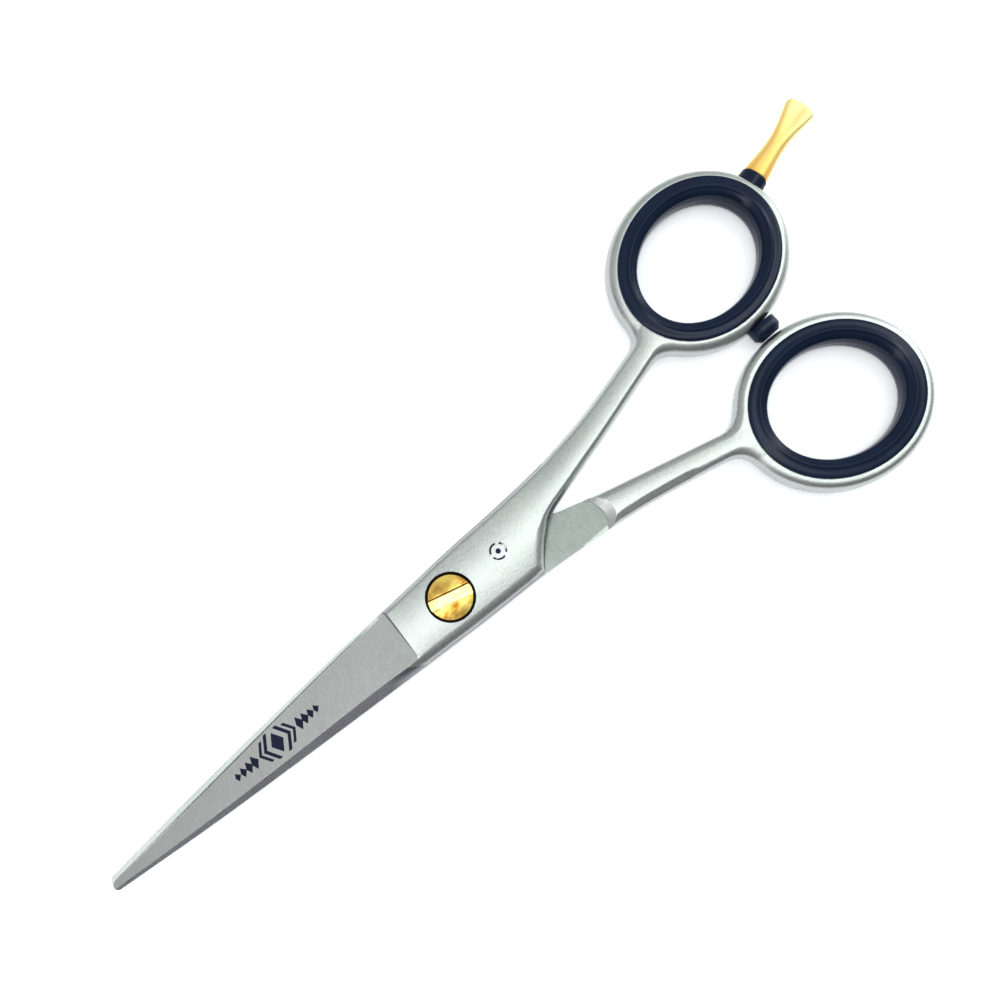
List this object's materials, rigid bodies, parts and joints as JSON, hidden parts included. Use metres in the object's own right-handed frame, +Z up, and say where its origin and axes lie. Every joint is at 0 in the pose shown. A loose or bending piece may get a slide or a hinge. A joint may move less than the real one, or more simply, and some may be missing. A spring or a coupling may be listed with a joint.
{
  "type": "hair cutting shears",
  "caption": "Slim offset-free hair cutting shears with crossed steel halves, slotted tension screw, lined finger rings, stop bumper and screwed-on finger rest.",
  "frame": {"origin": "on the tension screw's axis, in the plane of the lower half's flat underside, on which the shears lie", "axes": "+X towards the blade tips, +Y towards the thumb ring, +Z up out of the side with the screw's slotted head"},
  "size_m": [0.142, 0.0523, 0.005],
  "materials": {
    "blade_steel": "fine bead-blasted body and shanks, satin-ground blades",
    "gold_metal": "polished gold colour",
    "navy_plastic": "semi-gloss moulded navy",
    "black_nylon": "matt black"
  },
  "bodies": {
    "finger_half": {"finger_blade": "blade_steel", "head_washer": "black_nylon", "finger_ring_insert": "navy_plastic", "stop_bumper": "navy_plastic", "finger_rest_collar": "navy_plastic", "finger_rest": "gold_metal"},
    "thumb_half": {"thumb_blade": "blade_steel", "thumb_ring_insert": "navy_plastic"},
    "screw": {"tension_screw": "gold_metal"}
  },
  "joints": [
    {"name": "shear_pivot", "type": "hinge", "parent": "finger_half", "child": "thumb_half", "pos_m": [0, 0, 0.0025], "axis": [0, 0, -1], "range_deg": [0, 100]},
    {"name": "screw_turn", "type": "hinge", "parent": "thumb_half", "child": "screw", "pos_m": [0, 0, 0.0025], "axis": [0, 0, 1], "range_deg": [-90, 90]}
  ]
}
